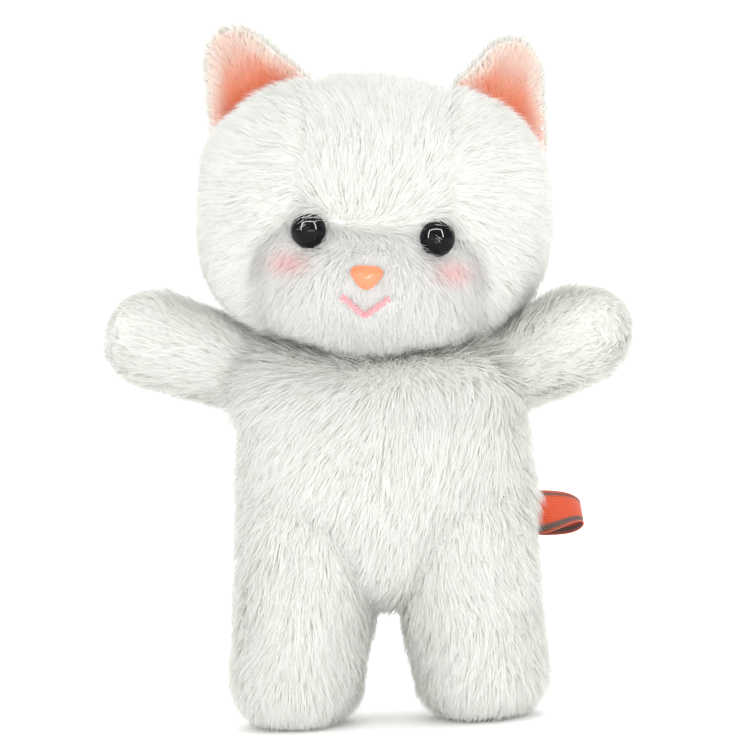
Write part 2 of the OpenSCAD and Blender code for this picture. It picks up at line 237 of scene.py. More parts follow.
WHITE_PILE = pile_material("white_pile")
PEACH_PILE = pile_material("peach_plush")
# The white backing's own off-white, darkened below the pile's colour as painted shade where it shows
# between parted pile.
WHITE_BACKING = backing_material("white_backing", (0.86, 0.86, 0.835), (0.90, 0.90, 0.88))
PEACH_BACKING = backing_material("peach_backing", (0.90, 0.44, 0.30), (0.95, 0.54, 0.40))
BLACK_PLASTIC = plastic_material("eye_plastic", (0.0015, 0.0017, 0.002), (0.0025, 0.0028, 0.0032),
                                 roughness=0.04, coat=0.0, shine=0.12)
NOSE_PLASTIC = plastic_material("nose_plastic", (0.80, 0.20, 0.08), (0.90, 0.26, 0.12),
                                roughness=0.3, coat=0.5, shine=0.5)
WASHER_PLASTIC = plastic_material("washer_plastic", (0.80, 0.80, 0.77), (0.88, 0.88, 0.85),
                                  roughness=0.5, coat=0.0, shine=0.5)
PINK_THREAD = thread_material("pink_thread", (0.72, 0.20, 0.24), (0.92, 0.42, 0.46))
WHITE_THREAD = thread_material("white_thread", (0.78, 0.77, 0.72), (0.92, 0.91, 0.87))
FILLING = backing_material("filling", (0.86, 0.86, 0.86), (0.95, 0.95, 0.95))
RIBBON = ribbon_material()


# ---------- meshes ----------

def add_object(name, mesh):
    made = bpy.data.objects.new(name, mesh)
    bpy.context.scene.collection.objects.link(made)
    return made


def make_mesh(name, corners, faces, smooth=True):
    mesh = bpy.data.meshes.new(name)
    mesh.from_pydata([tuple(c) for c in corners], [], faces)
    mesh.update()
    mesh.polygons.foreach_set("use_smooth", [smooth] * len(mesh.polygons))
    return mesh


def applied(made):
    """The object's mesh with its modifiers in it, and no modifiers left."""
    graph = bpy.context.evaluated_depsgraph_get()
    mesh = bpy.data.meshes.new_from_object(made.evaluated_get(graph))
    made.modifiers.clear()
    old = made.data
    made.data = mesh
    bpy.data.meshes.remove(old)
    return made


def normals_of(mesh):
    flat = np.empty(len(mesh.vertices) * 3)
    mesh.vertex_normals.foreach_get("vector", flat)
    return flat.reshape(-1, 3)


def skin_over(name, nodes, grow, voxel=2.4, soften=3, filled=False):
    """One closed skin round CAD solids: remeshed evenly, smoothed and moved out by grow mm."""
    shape = bmesh.new()
    for node in nodes:
        shape.from_mesh(frame["nodes"][node].data)
    if filled:
        hull = bmesh.ops.convex_hull(shape, input=shape.verts)
        inside = {e for e in hull["geom_interior"] if isinstance(e, bmesh.types.BMVert)}
        inside |= {v for v in shape.verts if not v.link_faces}
        bmesh.ops.delete(shape, geom=list(inside), context="VERTS")
    mesh = bpy.data.meshes.new(name)
    shape.to_mesh(mesh)
    shape.free()
    made = add_object(name, mesh)
    remesh = made.modifiers.new("even", "REMESH")
    remesh.mode = "VOXEL"
    remesh.voxel_size = voxel * MM
    remesh.use_smooth_shade = True
    smooth = made.modifiers.new("soft", "SMOOTH")
    smooth.factor = 0.5
    smooth.iterations = soften
    swell = made.modifiers.new("swell", "DISPLACE")
    swell.strength = grow * MM
    swell.mid_level = 0
    return applied(made)


def knead(made, move):
    """Moves a skin's points along their normals by move(points, normals), in mm."""
    points, normals = coordinates(made.data), normals_of(made.data)
    points += normals * (move(points, normals) * MM)[:, None]
    made.data.vertices.foreach_set("co", points.ravel())
    made.data.update()
    return made


# ---------- pile ----------

def scatter(skin, density, seed):
    """Even random places on a skin: points and smooth normals. Density is strands to a square mm."""
    mesh = skin.data
    mesh.calc_loop_triangles()
    corners = np.empty(len(mesh.loop_triangles) * 3, int)
    mesh.loop_triangles.foreach_get("vertices", corners)
    corners = corners.reshape(-1, 3)
    points, normals = coordinates(mesh), normals_of(mesh)
    a, b, c = points[corners[:, 0]], points[corners[:, 1]], points[corners[:, 2]]
    area = np.linalg.norm(np.cross(b - a, c - a), axis=1) / 2
    rng = np.random.default_rng(seed)
    count = int(area.sum() / MM ** 2 * density * (1))
    picked = rng.choice(len(area), size=count, p=area / area.sum())
    u, v = rng.random((2, count))
    u, v = np.where(u + v > 1, 1 - u, u), np.where(u + v > 1, 1 - v, v)
    share = np.stack([1 - u - v, u, v], 1)[:, :, None]
    at = (points[corners[picked]] * share).sum(1)
    out = unit((normals[corners[picked]] * share).sum(1))
    return at, out


def tufts(points, every, seed):
    """For each point, the index of the tuft leader it leans towards."""
    rng = np.random.default_rng(seed)
    leaders = rng.choice(len(points), size=max(1, len(points) // every), replace=False)
    tree = kdtree.KDTree(len(leaders))
    for k, leader in enumerate(leaders):
        tree.insert(points[leader], k)
    tree.balance()
    return np.array([leaders[tree.find(p)[1]] for p in points])


STEPS = np.array([0, 0.3, 0.65, 1.0])
TAPER = np.array([1.0, 0.9, 0.6])


def strand_lines(at, out, comb, length, lean_root, lean_tip):
    """Each strand's line as four points: it leaves the skin and lies over along comb."""
    line = [at]
    for k in range(1, len(STEPS)):
        lean = lean_root + (lean_tip - lean_root) * ((STEPS[k] + STEPS[k - 1]) / 2) ** 0.6
        way = np.cos(lean)[:, None] * out + np.sin(lean)[:, None] * comb
        line.append(line[-1] + way * (length * (STEPS[k] - STEPS[k - 1]))[:, None])
    return np.stack(line, 1)


def grow_pile(name, at, out, comb, length, tint, seed, width=0.3, lean=(40, 74), clump=0.2,
              every=12, stray=0.16, guard=0.35, paint=None, lift=0.0):
    """A piece of pile: tapered ribbons of fibre gathered in small tufts, short dense ones under
    a share of long fine guard hairs. Lengths and widths in mm, lean in degrees from the skin's
    normal at root and tip, tint as (root colour, tip colour). Lift from 0 to 1 stands strands up."""
    rng = np.random.default_rng(seed)
    if len(at) > MAX_STRANDS:
        kept = rng.choice(len(at), MAX_STRANDS, replace=False)
        width *= math.sqrt(len(at) / MAX_STRANDS)
        at, out, comb, length = at[kept], out[kept], comb[kept], length[kept]
        lift = lift[kept] if np.ndim(lift) else lift
    n = len(at)
    leader = tufts(at, every, seed + 1)
    long = rng.random(n) < guard
    own = unit(comb + rng.normal(scale=stray, size=(n, 3)))
    own = own + rng.normal(scale=0.1, size=(n, 3))[leader]
    own = unit(own - (own * out).sum(1, keepdims=True) * out)
    share = np.where(long, rng.uniform(0.86, 1.12, n), rng.uniform(0.55, 0.85, n))
    size = length * MM * share * rng.normal(1, 0.05, n)[leader].clip(0.85, 1.15)
    lean_root = np.radians(lean[0] - 8 * ~long + rng.normal(0, 8, n)) * (1 - 0.7 * lift)
    own_tip, tuft_tip = rng.normal(0, 5, n), rng.normal(0, 4, n)[leader]
    lean_tip = np.radians(lean[1] - 6 * ~long + own_tip + tuft_tip) * (1 - 0.55 * lift)
    line = strand_lines(at, out, own, size, lean_root, lean_tip)
    pull = clump * STEPS ** 1.5
    line = line + (line[leader] - line) * (pull * rng.uniform(0.4, 1, (n, 1)))[:, :, None]
    along = unit(line[:, -1] - line[:, 0])
    across = unit(np.cross(out, along))
    lifted = np.cross(along, across)
    roll = rng.uniform(-0.5, 0.5, n)
    across = np.cos(roll)[:, None] * across + np.sin(roll)[:, None] * lifted
    half = (width * MM / 2) * rng.uniform(0.75, 1.2, n) * np.where(long, 0.65, 1.1)
    points = np.empty((n, 7, 3))
    shade = np.empty((n, 7, 3))
    base = unit(out + 0.3 * out[leader] + 0.12 * own + rng.normal(scale=0.05, size=(n, 3)))
    for k in range(3):
        reach = (half * TAPER[k])[:, None] * across
        points[:, 2 * k] = line[:, k] - reach
        points[:, 2 * k + 1] = line[:, k] + reach
        shade[:, 2 * k] = base - 0.2 * across
        shade[:, 2 * k + 1] = base + 0.2 * across
    points[:, 6] = line[:, 3]
    shade[:, 6] = base + 0.1 * along
    points[:, :, 2] = np.maximum(points[:, :, 2], 0.1 * MM)
    root, tip = (np.array(c, float) for c in tint)
    mixed = np.append(np.repeat(STEPS[:3], 2), 1.0)[None, :, None] ** 0.8
    colour = root * (1 - mixed) + tip * mixed
    own_tone, tuft_tone = rng.normal(0, 0.008, (n, 1, 1)), rng.normal(0, 0.008, n)[leader]
    colour = colour * (1 + own_tone) * (1 + tuft_tone)[:, None, None]
    if paint is not None:
        colour = paint(points, colour)
    return ribbons(name, points, shade, np.clip(colour, 0, 0.985))


FACES = np.array([1, 0, 2, 3, 3, 2, 4, 5, 5, 4, 6])
FACE_STARTS = np.array([0, 4, 8])
FACE_UV = np.array([(1, 0), (0, 0), (0, 0.34), (1, 0.34), (1, 0.34), (0, 0.34), (0, 0.68), (1, 0.68),
                    (1, 0.68), (0, 0.68), (0.5, 1)])


def ribbons(name, points, shade, colour):
    """Builds the mesh of many seven-point ribbons, each with its own corner of the bake map."""
    n = len(points)
    mesh = bpy.data.meshes.new(name)
    mesh.vertices.add(7 * n)
    mesh.vertices.foreach_set("co", points.astype(np.float32).ravel())
    mesh.loops.add(11 * n)
    order = (np.arange(n)[:, None] * 7 + FACES).ravel()
    mesh.loops.foreach_set("vertex_index", order.astype(np.int32))
    mesh.polygons.add(3 * n)
    starts = (np.arange(n)[:, None] * 11 + FACE_STARTS).ravel()
    mesh.polygons.foreach_set("loop_start", starts.astype(np.int32))
    mesh.update(calc_edges=True)
    mesh.polygons.foreach_set("use_smooth", np.ones(3 * n, bool))
    side = math.ceil(math.sqrt(n))
    cell = np.stack([np.arange(n) % side, np.arange(n) // side], 1)[:, None, :]
    corner = (cell + 0.25 + 0.5 * FACE_UV) / side
    layer = mesh.uv_layers.new(name="OFBake")
    layer.data.foreach_set("uv", corner.astype(np.float32).ravel())
    tint = mesh.color_attributes.new("Tint", "FLOAT_COLOR", "POINT")
    rgba = np.concatenate([colour, np.ones((n, 7, 1))], 2)
    tint.data.foreach_set("color", rgba.astype(np.float32).ravel())
    mesh.normals_split_custom_set_from_vertices(unit(shade).reshape(-1, 3).astype(np.float32))
    return add_object(name, mesh)


def tangent(way, out):
    """A direction field laid onto the skin."""
    way = np.broadcast_to(np.asarray(way, float), out.shape)
    return unit(way - (way * out).sum(1, keepdims=True) * out)


WHITE_TINT = ((0.952, 0.952, 0.912), (0.975, 0.979, 0.962))
COOL_TINT = ((0.875, 0.877, 0.857), (0.905, 0.908, 0.90))


# ---------- head ----------

def facing(turn, tip):
    """Turns a face part's +Z out of the tilted head's face."""
    return HEAD_TURN.to_4x4() @ Euler((0, 0, math.radians(turn))).to_matrix().to_4x4() \
        @ Euler((math.radians(90 + tip), 0, 0)).to_matrix().to_4x4()


def on_axis(node, turn, crown):
    """The place of a face part's own origin: on its dome's axis, crown mm below its front."""
    seen = coordinates(frame["nodes"][node].data) @ np.array(turn.to_3x3())
    top = seen[:, 2].max()
    dome = seen[seen[:, 2] > top - 3.5 * MM]
    centre = (dome.min(0) + dome.max(0)) / 2
    centre[2] = top - crown * MM
    return Matrix.Translation(turn.to_3x3() @ Vector(centre))


EYE_TURN = {"left": facing(17, 0), "right": facing(-17, 0)}
EYE_CROWN = 4.6         # from a dome's front back to its rim


def dome_place(node, turn, crown):
    """The middle of a face part's rim in the head's frame, in mm."""
    return in_head(np.array([on_axis(node, turn, crown).translation]))[0] / MM


EYES = [dome_place(f"{side}_eye", EYE_TURN[side], EYE_CROWN) for side in ("left", "right")]
NOSE = dome_place("nose", facing(0, -5), 3.3)


BROW = -7               # height of the straight seam between the eyes, mm in the head's frame
CROWN = 3               # how far behind its middle the head's front and back panels meet, mm


def seam_dip(distance, depth, wide):
    """A groove along a seam: how far to move out, in mm, at a distance from it."""
    return -depth * np.exp(-(distance / wide) ** 2)


def gusset_half(z):
    """Half the forehead panel's width at a height, in mm in the head's frame."""
    return 19 - 0.065 * z


def muzzle_reach(p):
    """Below 1 on the muzzle's panel, in the head's frame."""
    across, up = np.abs(p[:, 0] / MM + 0.5) / 30.5, np.abs(p[:, 2] / MM + 20) / 18.5
    return (across ** 2.5 + up ** 2.5) ** 0.4


def muzzle_seam(p):
    """How far the muzzle's seam is, in mm: straight between the eyes, round below them."""
    x, z = p[:, 0] / MM, p[:, 2] / MM
    rim = np.where(z < BROW, np.abs(muzzle_reach(p) - 1) * 22, 99)
    return np.minimum(rim, np.hypot(z - BROW, np.maximum(np.abs(x + 0.5) - 21.7, 0)))


def head_panels(p):
    """The name of the panel that each point of the head belongs to, in the head's frame."""
    above = p[:, 2] > BROW * MM
    back = p[:, 1] >= CROWN * MM
    muzzle = (p[:, 1] < -8 * MM) & (p[:, 2] < BROW * MM) & (muzzle_reach(p) < 1)
    gusset = ~back & above & (np.abs(p[:, 0]) < gusset_half(p[:, 2] / MM) * MM)
    left = p[:, 0] > 0
    names = np.where(left, "left_cheek_panel", "right_cheek_panel").astype(object)
    names[gusset] = "forehead_panel"
    names[muzzle] = "muzzle_panel"
    names[back & left] = "head_back_left_panel"
    names[back & ~left] = "head_back_right_panel"
    return names


def head_move(points, normals):
    """The head's grooves along its seams and round its eyes, its jaw and its chin."""
    p = in_head(points) / MM
    front = 1 - ease(p[:, 1], -6, 4)
    gusset = np.abs(np.abs(p[:, 0]) - gusset_half(p[:, 2]))
    move = seam_dip(gusset, 0.9, 2.2) * front * ease(p[:, 2], -8, -2)
    move += seam_dip(muzzle_seam(p * MM), 1.4, 3.0) * front
    move += seam_dip(p[:, 1] - CROWN, 0.8, 2.5) + seam_dip(p[:, 0], 0.8, 2.5) * ease(p[:, 1], 2, 6)
    for eye in EYES:
        move += seam_dip(np.hypot(p[:, 0] - eye[0], p[:, 2] - eye[2]), 0.8, 7) * front
    for jaw in (-24, 23):
        swell = np.exp(-((p[:, 0] - jaw) / 11) ** 2 - ((p[:, 2] + 31) / 9) ** 2)
        move += 3.6 * swell * (1 - ease(p[:, 1], -16, 2))
    chin = np.exp(-((p[:, 0] + 0.5) / 20) ** 2 - ((p[:, 2] + 37) / 6) ** 2)
    move += 1.8 * chin * (1 - ease(p[:, 1], -20, -6))
    return move + 0.5 * wavy(points, 26 * MM, 5)


head_skin = skin_over("head_skin", ["head_stuffing"], 1.0, voxel=2.0)
knead(head_skin, head_move)
head_skin.data.materials.append(WHITE_BACKING)
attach(head_skin, "head")


def mouth_line(share):
    """The mouth's V in the head's frame: x and z in mm for a share from 0 to 1 along it."""
    ends = np.array([(-7.4, -24.6), (-0.8, -29.6), (5.8, -24.3)])
    share = np.asarray(share, float) * 2
    k = np.minimum(share.astype(int), 1)
    t = (share - k)[:, None]
    return ends[k] * (1 - t) + ends[k + 1] * t


def face_clear(p):
    """How long pile may be near the eyes, nose and mouth: 0 none, 1 full. Head's frame, in mm."""
    free = np.ones(len(p))
    front = p[:, 1] < -12
    for eye in EYES:
        far = np.hypot((p[:, 0] - eye[0]) / 0.96, p[:, 2] - eye[2])
        outer = ease(p[:, 0] * np.sign(eye[0]) - abs(eye[0]), -2, 3)
        near = ease(far, 4.6, 4.9) * (1 - outer * 0.45 * (1 - ease(far, 6, 11)))
        free = np.where(front, np.minimum(free, near), free)
    far = np.hypot((p[:, 0] - NOSE[0]) / 1.15, p[:, 2] - NOSE[2])
    near = ease(far, 2.6, 3.2) * (0.5 + 0.5 * ease(far, 4, 8))
    free = np.where(front, np.minimum(free, near), free)
    line = mouth_line(np.linspace(0, 1, 25))
    far = np.sqrt(((p[:, None, [0, 2]] - line[None]) ** 2).sum(2)).min(1)
    near = ease(far, 0.1, 0.5) * (0.42 + 0.58 * ease(far, 1.5, 6))
    free = np.where(front, np.minimum(free, near), free)
    for side in ("left", "right"):
        joint = JOINTS[f"{side}_ear_fold"]
        base, axis = in_head(np.array([joint["pos_m"]]))[0] / MM, np.array(joint["axis"]) @ HEAD_ROWS
        along = (p - base) @ axis
        far = np.linalg.norm(p - base - along.clip(-14, 14)[:, None] * axis, axis=1)
        free = np.minimum(free, 0.35 + 0.65 * ease(far, 3, 12))
    return free


def head_comb(p, out, panel):
    """Which way the pile lies on each panel of the head."""
    x, z = p[:, 0] / MM, p[:, 2] / MM
    parting = np.exp(-((z + 5.2) / 1.8) ** 2) * (panel == "forehead_panel")
    if panel == "muzzle_panel":
        way = np.stack([0.35 * (x - NOSE[0]) / 12, np.zeros_like(x), -np.ones_like(x)], 1)
    elif panel == "forehead_panel":
        way = np.stack([0.5 * x / 19 + 1.2 * parting, 0.4 + 0 * x, np.tanh((z + 5.2) / 1.8)], 1)
    elif "cheek" in panel:
        side = np.sign(x)
        way = np.stack([side * 0.9, 0.35 + 0 * x, -0.25 + 0.6 * np.tanh((z + 3) / 16)], 1)
    else:
        way = np.stack([0.2 * np.sign(x), 0 * x, -np.ones_like(x)], 1)
    swirl = np.stack([wavy(p, 34 * MM, 21), 0 * x, wavy(p, 30 * MM, 22)], 1) * 0.35
    way = way + swirl
    for spot, side in zip(EYES, (1, -1)):
        to_eye = spot - p / MM
        inner = np.where(side * to_eye[:, 0] > 0, 0.9, 0.45)
        near = eye_rim(p / MM)[:, None] * inner[:, None] * (np.abs(to_eye[:, :1]) < 14)
        near = near * (1 - parting[:, None] * (side < 0))
        way = way * (1 - near) + unit(to_eye * (1, 0, 1)) * near * 1.5
    return tangent(from_head(way), out)


def eye_rim(p):
    """1 at an eye's rim, falling to 0 a few millimetres out. Head's frame, in mm."""
    far = np.min([np.hypot(p[:, 0] - spot[0], p[:, 2] - spot[2]) for spot in EYES], axis=0)
    return (1 - ease(far, 5.2, 8.5)) * (p[:, 1] < -12)


def face_colour_and_seam_shade(points, colour):
    """Painted shade on the roots along the muzzle's seam, standing in for the crease's shadow, and
    airbrushed pink below and outside each eye.
    """
    p = in_head(points.reshape(-1, 3)) / MM
    # Painted shade: the roots darken along the muzzle's seam, fading out low on the muzzle.
    seam_shade = 0.15 * np.exp(-(muzzle_seam(p * MM) / 1.7) ** 2) * (p[:, 1] < -8)
    seam_shade = seam_shade * (1 - 0.8 * ease(-p[:, 2], 17, 25))
    colour = colour * (1 - seam_shade.reshape(colour.shape[:2])[:, :, None])
    for eye, side in zip(EYES, (1, -1)):
        x, z = eye[0] + side * 5.2, eye[2] - 9.2
        far = np.hypot((p[:, 0] - x) / 5.0, (p[:, 2] - z) / 3.2)
        amount = (0.42 * np.exp(-far ** 2) * (p[:, 1] < -10)).reshape(colour.shape[:2])[:, :, None]
        colour = colour * (1 - amount) + np.array((0.99, 0.50, 0.48)) * amount
    return colour


HEAD_LENGTHS = {"muzzle_panel": 6.5, "forehead_panel": 8, "left_cheek_panel": 8.5,
                "right_cheek_panel": 8.5, "head_back_left_panel": 9, "head_back_right_panel": 9}


def head_pile():
    at, out = scatter(head_skin, 7, 11)
    p = in_head(at)
    names = head_panels(p)
    free = face_clear(p / MM)
    for k, (panel, long) in enumerate(HEAD_LENGTHS.items()):
        on = (names == panel) & (free > 0.05)
        comb = head_comb(p[on], out[on], panel)
        length = (long + 1.0 * eye_rim(p[on] / MM)) * free[on] * (1 + 0.1 * wavy(at[on], 18 * MM, 31))
        cool = panel == "muzzle_panel"
        made = grow_pile(panel.replace("panel", "pile"), at[on], out[on], comb, length,
                         COOL_TINT if cool else WHITE_TINT, 100 + k, lean=(46, 80) if cool else (40, 76),
                         paint=None if "back" in panel else face_colour_and_seam_shade, lift=eye_rim(p[on] / MM))
        made.data.materials.append(WHITE_PILE)
        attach(made, "head")
        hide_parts(panel)
    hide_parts("head_stuffing")


head_pile()


# ---------- torso ----------

SIDE_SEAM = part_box("torso_front_panel")[1].y    # the side seams' plane
BACK_SEAM = middle("back_closing_stitches").x   # the back's centre seam
NECK = np.array(JOINTS["neck_turn"]["pos_m"])


def torso_move(points, normals):
    """The torso's grooves along its side and back seams, and the swell of its throat."""
    p = points / MM
    move = seam_dip(p[:, 1] - SIDE_SEAM / MM, 0.9, 2.4)
    move += seam_dip(p[:, 0] - BACK_SEAM / MM, 0.7, 2.4) * (p[:, 1] > 0)
    move += 4.0 * ease(p[:, 2], 84, 94) * (1 - ease(p[:, 1], -8, 4))
    return move + 0.6 * wavy(points, 24 * MM, 6)


torso_skin = skin_over("torso_skin", ["torso_stuffing", "torso_front_panel"], 0.4, filled=True)
knead(torso_skin, torso_move)
torso_skin.data.materials.append(WHITE_BACKING)
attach(torso_skin, "torso")
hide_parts("torso_stuffing")


def torso_pile():
    at, out = scatter(torso_skin, 5, 12)
    front = at[:, 1] < SIDE_SEAM
    left = at[:, 0] > BACK_SEAM
    kinds = {"torso_front_panel": front, "torso_back_left_panel": ~front & left,
             "torso_back_right_panel": ~front & ~left}
    for k, (panel, on) in enumerate(kinds.items()):
        swirl = np.stack([wavy(at[on], 40 * MM, 41), 0 * at[on, 0], wavy(at[on], 36 * MM, 42)], 1) * 0.3
        way = (-0.42, 0, -0.9) if panel == "torso_front_panel" else (0.1, 0, -1)
        high = at[on, 2] / MM
        collar = unit((at[on] - NECK) * (1, 1, 0)) * 1.3 * ease(high, 88, 99)[:, None]
        comb = tangent(np.array(way) + swirl + collar, out[on])
        length = 9.5 * (1 + 0.1 * wavy(at[on], 20 * MM, 43)) * (1 + 0.3 * ease(high, 84, 96))
        made = grow_pile(panel.replace("panel", "pile"), at[on], out[on], comb, length, WHITE_TINT, 120 + k,
                         lift=0.5 * ease(high, 86, 97))
        made.data.materials.append(WHITE_PILE)
        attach(made, "torso")
        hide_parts(panel)


torso_pile()


# ---------- limbs ----------

def limb_axis(side, part):
    """From the joint out to the far end of the limb's stuffing."""
    pivot = Vector(JOINTS[f"{side}_{'shoulder' if part == 'arm' else 'hip'}"]["pos_m"])
    low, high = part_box(f"{side}_{part}_stuffing")
    centre = (low + high) / 2
    return pivot, (centre - pivot).normalized()


def limb(side, part, long, density, seed):
    """An arm or leg: its skin, its front and back pile, and a leg's sole pile as well."""
    pivot, axis = limb_axis(side, part)
    skin = skin_over(f"{side}_{part}_skin", [f"{side}_{part}_stuffing"], 1.2, voxel=2.2)
    paw = 2.2 if part == "arm" else 0.0     # mm that the limb's end stands out further
    knead(skin, lambda q, n: 0.5 * wavy(q, 20 * MM, seed) + paw * ease(n @ np.array(axis), 0.3, 0.9))
    skin.data.materials.append(WHITE_BACKING)
    at, out = scatter(skin, density, seed)
    forward = tangent((0, -1, 0), np.array([axis]))[0]
    front = (at - np.array(pivot)) @ forward > 0
    reach = (at - np.array(pivot)) @ np.array(axis)
    reach -= reach.max()
    pieces = [skin]
    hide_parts(f"{side}_{part}_stuffing")
    sole = (at[:, 2] < 3 * MM) & (part == "leg")
    groups = {"front": front & ~sole, "back": ~front & ~sole}
    for k, (half, on) in enumerate(groups.items()):
        swirl = np.stack([wavy(at[on], 30 * MM, seed + 5), wavy(at[on], 30 * MM, seed + 6),
                          wavy(at[on], 30 * MM, seed + 7)], 1) * 0.3
        length = long * (1 + 0.1 * wavy(at[on], 18 * MM, seed + 8))
        way = np.array(axis) + swirl
        if part == "leg":
            length = length * (0.45 + 0.55 * ease(at[on, 2], 2 * MM, 14 * MM))
        else:
            tip = ease(out[on] @ np.array(axis), 0.55, 0.9)[:, None]
            way = way * (1 - tip) + np.array((0, -0.3, -1)) * tip
            length = length * (1 - 0.42 * ease(reach[on], -15 * MM, -4 * MM))
        comb = tangent(way, out[on])
        made = grow_pile(f"{side}_{part}_{half}_pile", at[on], out[on], comb, length, WHITE_TINT,
                         seed + 20 + k)
        made.data.materials.append(WHITE_PILE)
        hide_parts(f"{side}_{part}_{half}_panel")
        pieces.append(made)
    if part == "leg":
        comb = tangent((0, -1, 0), out[sole])
        made = grow_pile(f"{side}_foot_sole_pile", at[sole], out[sole], comb, np.full(sole.sum(), 2.2),
                         COOL_TINT, seed + 30, lean=(62, 84))
        made.data.materials.append(WHITE_PILE)
        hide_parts(f"{side}_foot_sole")
        pieces.append(made)
    for piece in pieces:
        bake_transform(piece)


for hand, arm_seed, leg_seed in (("left", 200, 280), ("right", 240, 320)):
    limb(hand, "arm", 8, 7, arm_seed)
    limb(hand, "leg", 8.5, 6, leg_seed)


# ---------- tail ----------

def tail():
    skin = skin_over("tail_skin", ["tail_stuffing"], 1.2, voxel=1.6)
    skin.data.materials.append(WHITE_BACKING)
    pivot = Vector(JOINTS["tail_wag"]["pos_m"])
    at, out = scatter(skin, 5.0, 360)
    left = at[:, 0] > pivot.x + 2 * MM
    way = tangent((0, 0.2, 1), out)
    for k, (half, on) in enumerate({"left": left, "right": ~left}.items()):
        made = grow_pile(f"tail_{half}_pile", at[on], out[on], way[on], np.full(on.sum(), 7.0), WHITE_TINT,
                         370 + k)
        made.data.materials.append(WHITE_PILE)
        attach(made, "tail")
        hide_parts(f"tail_{half}_panel")
    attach(skin, "tail")
    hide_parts("tail_stuffing")


tail()


# ---------- ears ----------

def ear(side):
    joint = JOINTS[f"{side}_ear_fold"]
    base = np.array(joint["pos_m"])
    across = unit(np.array(joint["axis"]))
    tip = np.array(middle(f"{side}_ear_back")) - base
    up = unit(tip - (tip @ across) * across)
    forward = unit(np.cross(up, across))
    if forward[1] > 0:
        forward = -forward
    back = skin_over(f"{side}_ear_back_skin", [f"{side}_ear_back"], 0.3, voxel=0.9, soften=4)
    lining = skin_over(f"{side}_ear_lining_skin", [f"{side}_ear_lining"], 0.25, voxel=0.7, soften=4)
    back.data.materials.append(WHITE_BACKING)
    lining.data.materials.append(PEACH_BACKING)
    seed = 400 if side == "left" else 430
    at, out = scatter(back, 7, seed)
    rim = (out @ forward) > -0.25
    height = (at - base) @ up / MM
    sideways = (at - base) @ across
    way = tangent(up + 0.5 * sideways[:, None] / (15 * MM) * across, out)
    length = np.where(rim, 5.2, 6.5) * (0.8 + 0.2 * ease(height, 0, 12))
    keep = (out @ forward) < 0.6
    behind = grow_pile(f"{side}_ear_back_pile", at[keep], out[keep], way[keep], length[keep], WHITE_TINT,
                       seed + 1, width=0.2, lean=(42, 74))
    behind.data.materials.append(WHITE_PILE)
    at, out = scatter(lining, 9.0, seed + 2)
    keep = (out @ forward) > -0.2
    at, out = at[keep], out[keep]

    def peach(points, colour):
        """Deep orange at the ear's foot, then peach, and cream towards its edges and tip."""
        q = points.reshape(-1, 3) - base
        h, s = q @ up / MM, np.abs(q @ across) / MM
        edge = s / (15 - 0.42 * h).clip(2)
        pale = ease(h, 4, 12)[:, None]
        cream = (0.94 * ease(h, 9, 24) + 0.75 * ease(edge, 0.45, 1.05)).clip(0, 1)[:, None]
        made = np.array((0.985, 0.235, 0.085)) * (1 - pale) + np.array((0.985, 0.47, 0.30)) * pale
        made = made * (1 - cream) + np.array((0.975, 0.88, 0.82)) * cream
        return made.reshape(colour.shape) * (0.9 + 0.1 * colour / colour.max())

    outward = (at - base) @ across
    way = tangent(up + 1.3 * (outward / (12 * MM))[:, None] * across, out)
    inner = grow_pile(f"{side}_ear_lining_pile", at, out, way, np.full(len(at), 4.2), WHITE_TINT, seed + 3,
                      width=0.24, lean=(36, 68), paint=peach)
    inner.data.materials.append(PEACH_PILE)
    for piece, half, slot in ((back, "back", "white_pile"), (lining, "lining", "peach_plush"),
                              (behind, "back", "white_pile"), (inner, "lining", "peach_plush")):
        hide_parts(f"{side}_ear_{half}")
        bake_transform(piece)


ear("left")
ear("right")


# ---------- moulded face parts ----------

def lathe(name, profile, turns=64):
    """A turned solid about Z from (radius, height) pairs, in mm."""
    corners, faces = [], []
    for r, z in profile:
        for k in range(turns):
            angle = 2 * math.pi * k / turns
            corners.append((r * MM * math.cos(angle), r * MM * math.sin(angle), z * MM))
    for i in range(len(profile) - 1):
        for k in range(turns):
            a, b = i * turns + k, i * turns + (k + 1) % turns
            faces.append((a, b, b + turns, a + turns))
    faces.append(tuple(reversed(range(turns))))
    faces.append(tuple((len(profile) - 1) * turns + k for k in range(turns)))
    return add_object(name, make_mesh(name, corners, faces))


def eye(side):
    """A glossy dome with a rolled rim and its ridged post."""
    turn = EYE_TURN[side]
    radius, dome = 5.0, 4.2
    sphere = (radius ** 2 + dome ** 2) / (2 * dome)
    profile = [(0.9, -12.6), (1.5, -12.0)]
    for k in range(6):
        profile += [(1.5, -11 + 1.6 * k), (1.32, -10.4 + 1.6 * k), (1.5, -9.9 + 1.6 * k)]
    profile += [(1.5, -0.2), (4.4, -0.1), (4.9, 0.1), (radius, 0.45)]
    for k in range(1, 19):
        angle = math.asin(radius / sphere) * (1 - k / 18)
        height = 0.4 + dome - sphere + sphere * math.cos(angle)
        profile.append((max(sphere * math.sin(angle), 0.02), height))
    made = lathe(f"{side}_eye_moulding", profile)
    made.matrix_world = on_axis(f"{side}_eye", turn, EYE_CROWN) @ turn
    made.data.materials.append(BLACK_PLASTIC)
    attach(made, "head")
    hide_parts(f"{side}_eye")
    return made


eye("left")
eye("right")


